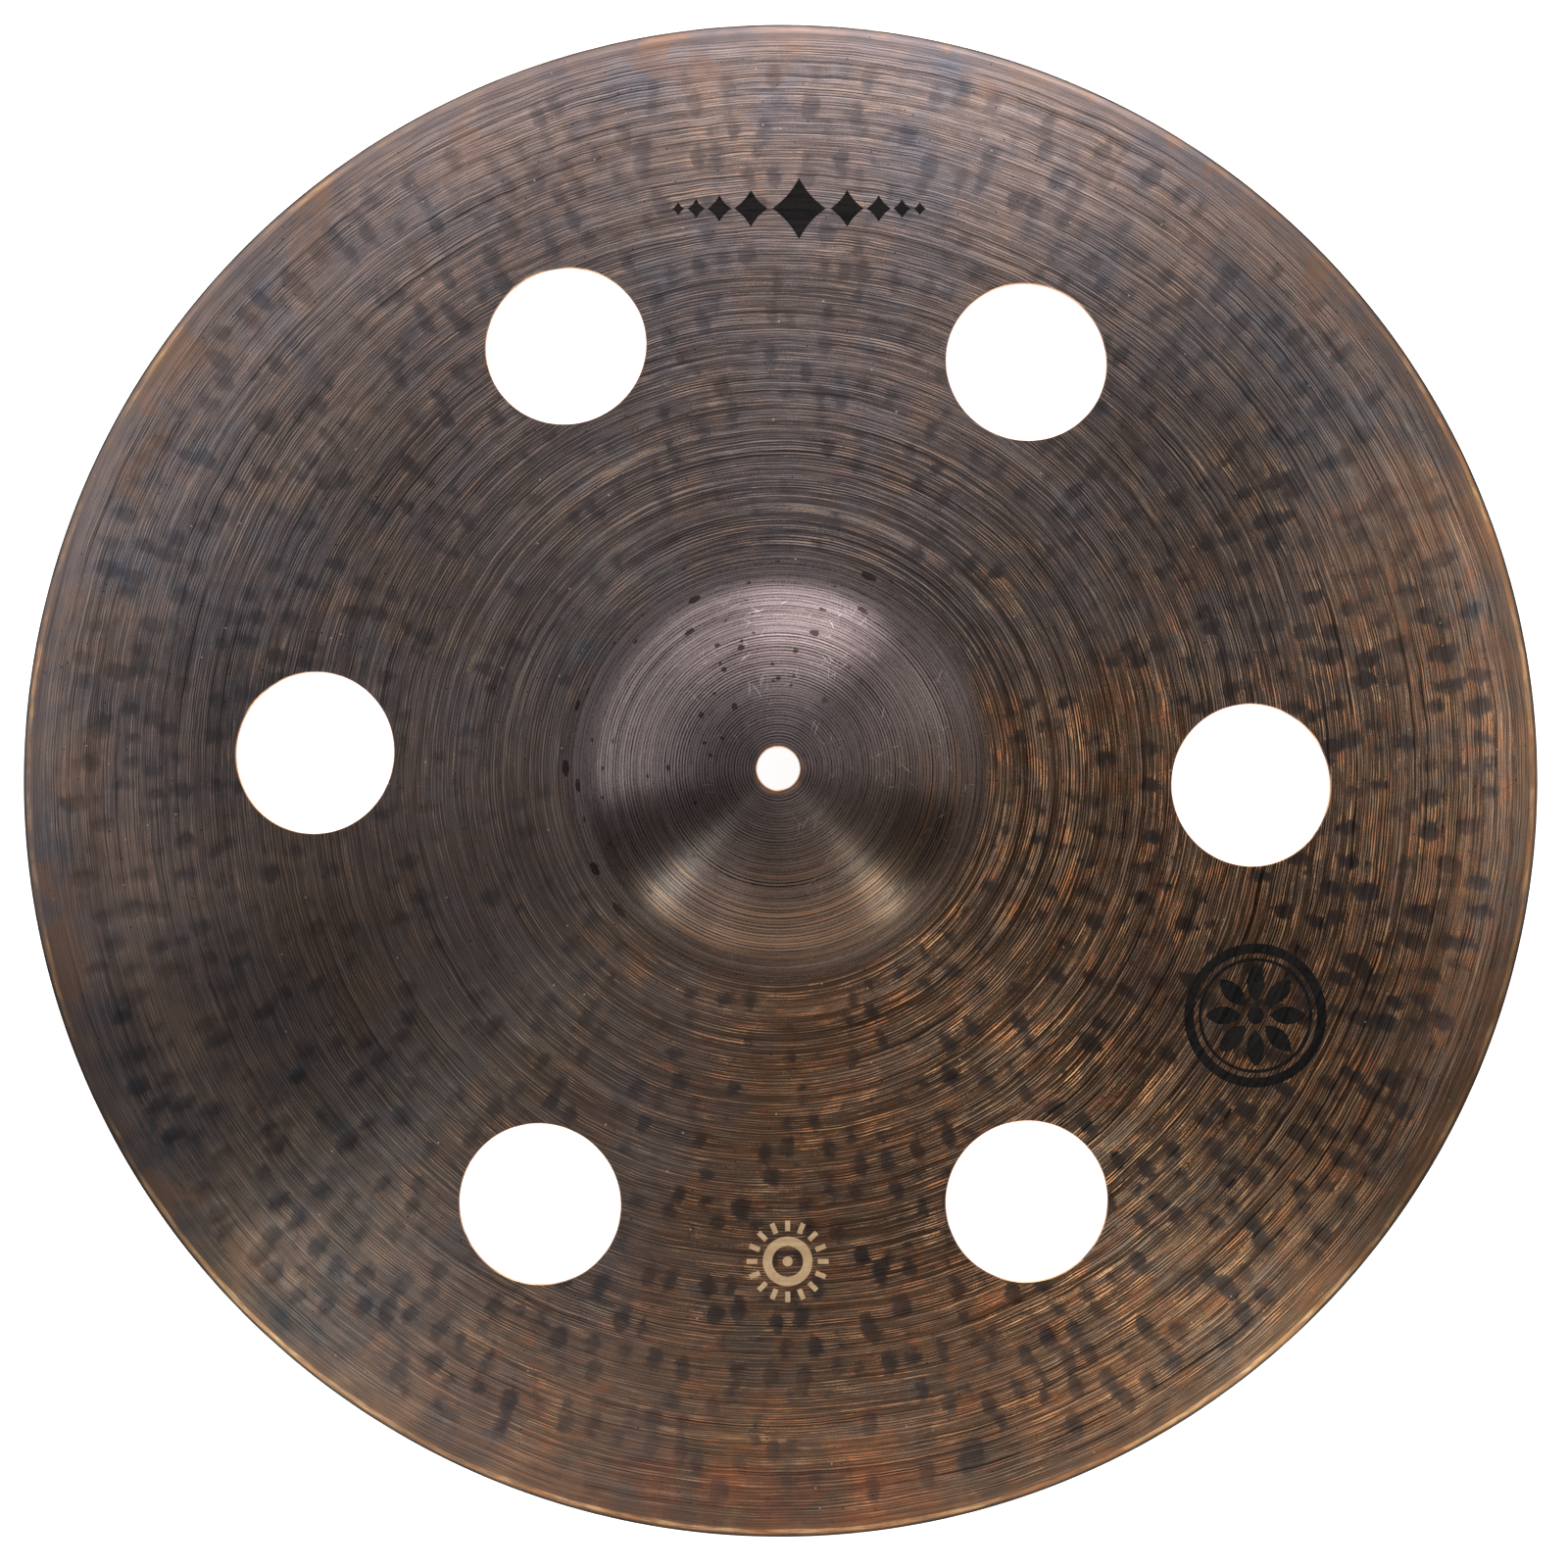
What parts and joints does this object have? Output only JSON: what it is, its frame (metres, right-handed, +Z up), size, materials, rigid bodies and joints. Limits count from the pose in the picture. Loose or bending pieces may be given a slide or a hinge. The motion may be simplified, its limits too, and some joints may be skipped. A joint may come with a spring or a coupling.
{
  "type": "effects crash cymbal",
  "caption": "Round hammered and lathed bronze effects cymbal with a raised bell, a centre hole for its stand and large sound holes round the bow.",
  "frame": {"origin": "on the cymbal's axis, in the plane that its rim rests on, bell upwards", "axes": "+Z up along the axis, out through the top of the bell; +Y towards the front mark, between sound holes 1 and 2; +X to the right of it seen from above"},
  "size_m": [0.4572, 0.4572, 0.0438],
  "materials": {
    "patinated_bronze": "dark patinated tin bronze, hammered and lathed, with bare bronze on the groove crests and the rim"
  },
  "bodies": {
    "root": {"cymbal": "patinated_bronze"}
  },
  "joints": []
}
